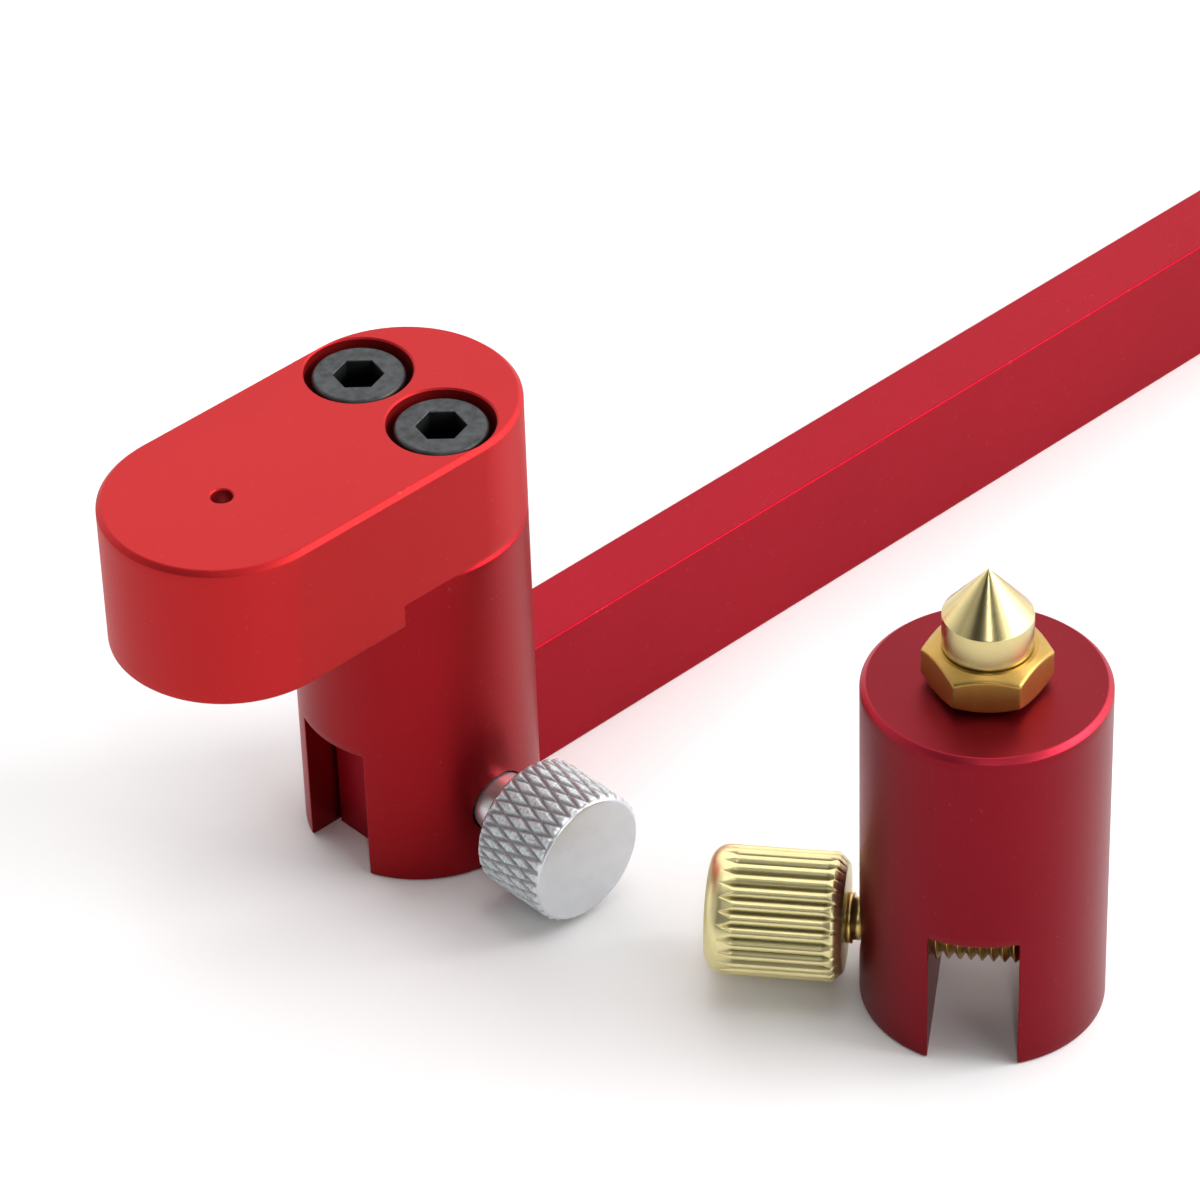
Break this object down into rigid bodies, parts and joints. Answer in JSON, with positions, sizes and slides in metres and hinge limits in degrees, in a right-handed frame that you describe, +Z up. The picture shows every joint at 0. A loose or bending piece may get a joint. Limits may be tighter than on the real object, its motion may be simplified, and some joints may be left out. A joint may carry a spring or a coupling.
{
  "type": "compass scriber",
  "caption": "Beam compass for scribing circles: a pencil arm clamped on a flat beam, and a loose centre head with a brass point and lock nut.",
  "frame": {"origin": "on the beam's underside, straight below the axis of the scribing head's post, as the tool stands on its slotted ends", "axes": "+X along the beam, away from the scribing head; +Z up, towards the arm's flat face; the scribing head's clamp screw points along -Y"},
  "size_m": [0.2246, 0.0764, 0.0472],
  "materials": {
    "beam_anodised": "red anodised, fine satin",
    "post_anodised": "dark red anodised, turned satin",
    "arm_anodised": "red anodised, bead blasted satin",
    "centre_post_anodised": "dark red anodised, turned satin",
    "black_steel": "black oxide, satin",
    "bright_steel": "turned and polished",
    "knurled_steel": "diamond knurled, end faced",
    "stud_brass": "threaded, dull",
    "knob_brass": "fluted, bright turned",
    "nut_brass": "warm bright, chamfered",
    "point_brass": "fine turned rings"
  },
  "bodies": {
    "beam": {"beam": "beam_anodised"},
    "scriber_head": {"scriber_post": "post_anodised", "scriber_arm": "arm_anodised", "arm_screw_near": "black_steel", "arm_screw_far": "black_steel"},
    "scriber_stud": {"scriber_clamp_stud": "bright_steel"},
    "scriber_knob": {"scriber_clamp_knob": "knurled_steel"},
    "grub_screw": {"pencil_grub_screw": "black_steel"},
    "centre_head": {"centre_post": "centre_post_anodised"},
    "centre_stud": {"centre_clamp_stud": "stud_brass"},
    "centre_knob": {"centre_clamp_knob": "knob_brass"},
    "lock_nut": {"centre_lock_nut": "nut_brass"},
    "point": {"centre_point": "point_brass"}
  },
  "joints": [
    {"name": "scriber_head_slide", "type": "slide", "parent": "beam", "child": "scriber_head", "axis": [1, 0, 0], "range_m": [-0.004, 0.17]},
    {"name": "scriber_clamp_travel", "type": "slide", "parent": "scriber_head", "child": "scriber_stud", "axis": [0, -1, 0], "range_m": [0, 0.0015]},
    {"name": "scriber_clamp_turn", "type": "hinge", "parent": "scriber_stud", "child": "scriber_knob", "pos_m": [0, -0.0137, 0.00685], "axis": [0, -1, 0], "range_deg": [0, 540]},
    {"name": "pencil_grub_travel", "type": "slide", "parent": "scriber_head", "child": "grub_screw", "axis": [0, -1, 0], "range_m": [0, 0.003]},
    {"name": "centre_head_slide", "type": "slide", "parent": "beam", "child": "centre_head", "axis": [1, 0, 0], "range_m": [0, 0.15]},
    {"name": "centre_clamp_travel", "type": "slide", "parent": "centre_head", "child": "centre_stud", "axis": [-0.6252, 0.7804, 0], "range_m": [0, 0.008]},
    {"name": "centre_clamp_turn", "type": "hinge", "parent": "centre_stud", "child": "centre_knob", "pos_m": [0.01094, -0.04494, 0.00685], "axis": [-0.6252, 0.7804, 0], "range_deg": [0, 2880]},
    {"name": "centre_point_height", "type": "slide", "parent": "centre_head", "child": "point", "axis": [0, 0, 1], "range_m": [0, 0.004]},
    {"name": "lock_nut_turn", "type": "hinge", "parent": "centre_head", "child": "lock_nut", "pos_m": [0.0185, -0.05438, 0.0371], "axis": [0, 0, 1], "continuous": true}
  ],
  "couplings": [
    {"joint": "scriber_clamp_travel", "follows": "scriber_clamp_turn", "m_per_rad": 0.00015915},
    {"joint": "centre_clamp_travel", "follows": "centre_clamp_turn", "m_per_rad": 0.00015915}
  ]
}
